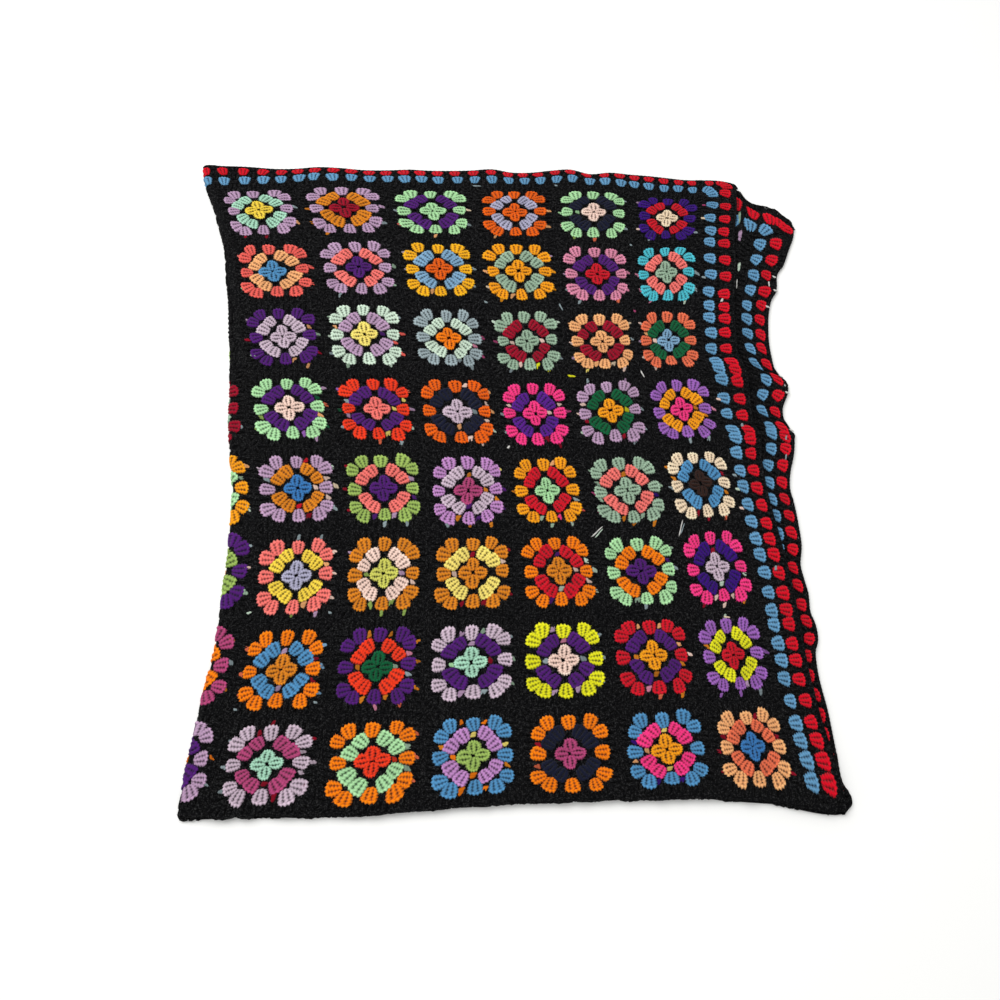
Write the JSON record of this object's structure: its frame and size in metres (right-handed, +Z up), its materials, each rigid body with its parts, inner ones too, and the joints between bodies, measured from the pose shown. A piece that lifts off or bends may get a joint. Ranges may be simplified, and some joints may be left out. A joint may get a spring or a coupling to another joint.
{
  "type": "granny square blanket, folded in quarters",
  "caption": "Crocheted blanket of joined black-bordered colour squares with a striped edging, folded in half twice and lying flat.",
  "frame": {"origin": "on the surface under the centre of the folded blanket's outline", "axes": "+X right across the blanket from the left fold to the free side, +Y from the bottom fold to the free top edge, +Z up"},
  "size_m": [1.0202, 1.0949, 0.0211],
  "materials": {
    "black_yarn": "matt acrylic worsted yarn, black joining round and coloured rounds",
    "edging_yarn": "matt acrylic worsted yarn, black, blue and red rounds"
  },
  "bodies": {
    "root": {"square_field": "black_yarn", "edging": "edging_yarn"}
  },
  "joints": []
}
